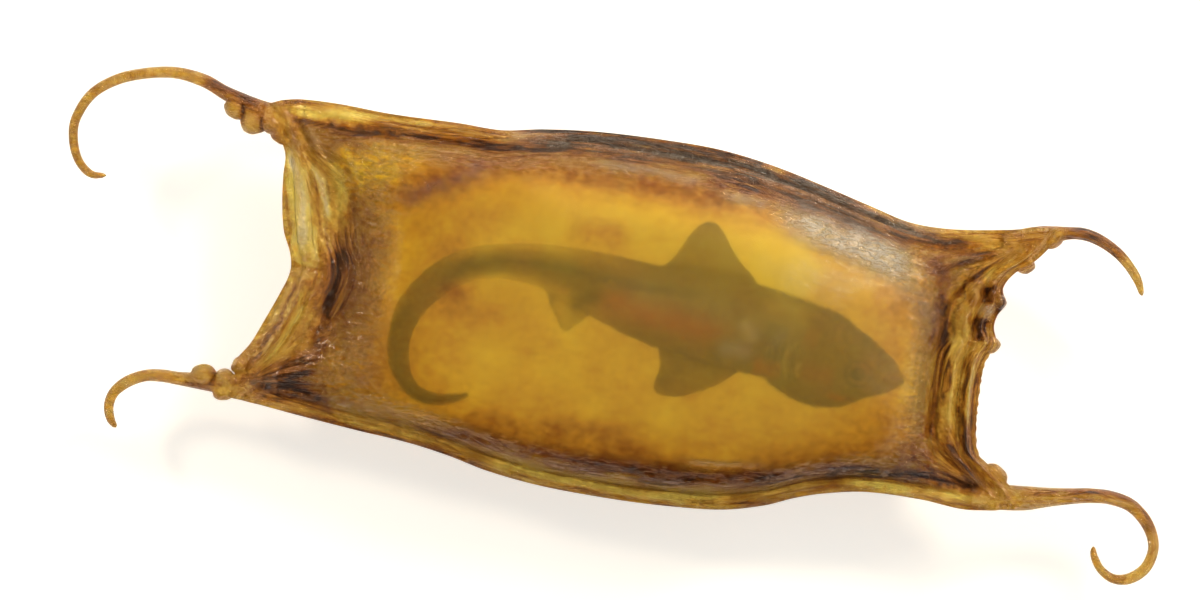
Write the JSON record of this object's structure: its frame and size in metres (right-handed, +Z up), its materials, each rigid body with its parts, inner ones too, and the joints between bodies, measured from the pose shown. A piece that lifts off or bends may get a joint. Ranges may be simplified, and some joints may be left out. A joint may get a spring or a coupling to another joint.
{
  "type": "shark egg case",
  "caption": "Leathery purse-shaped shark egg case: a see-through amber pillow with flanged sides, pleated and rolled ends, curled horns at its corners and a small embryo lying inside.",
  "frame": {"origin": "centre of the small flat spot on the belly that the case rests on", "axes": "+X along the case from its pleated end to its rolled end, +Y across it, +Z up"},
  "size_m": [0.1638, 0.0537, 0.0174],
  "materials": {
    "case_skin": "translucent amber, satin, fibrous",
    "embryo_flesh": "moist, olive brown"
  },
  "bodies": {
    "root": {"egg_case": "case_skin", "embryo": "embryo_flesh"}
  },
  "joints": []
}
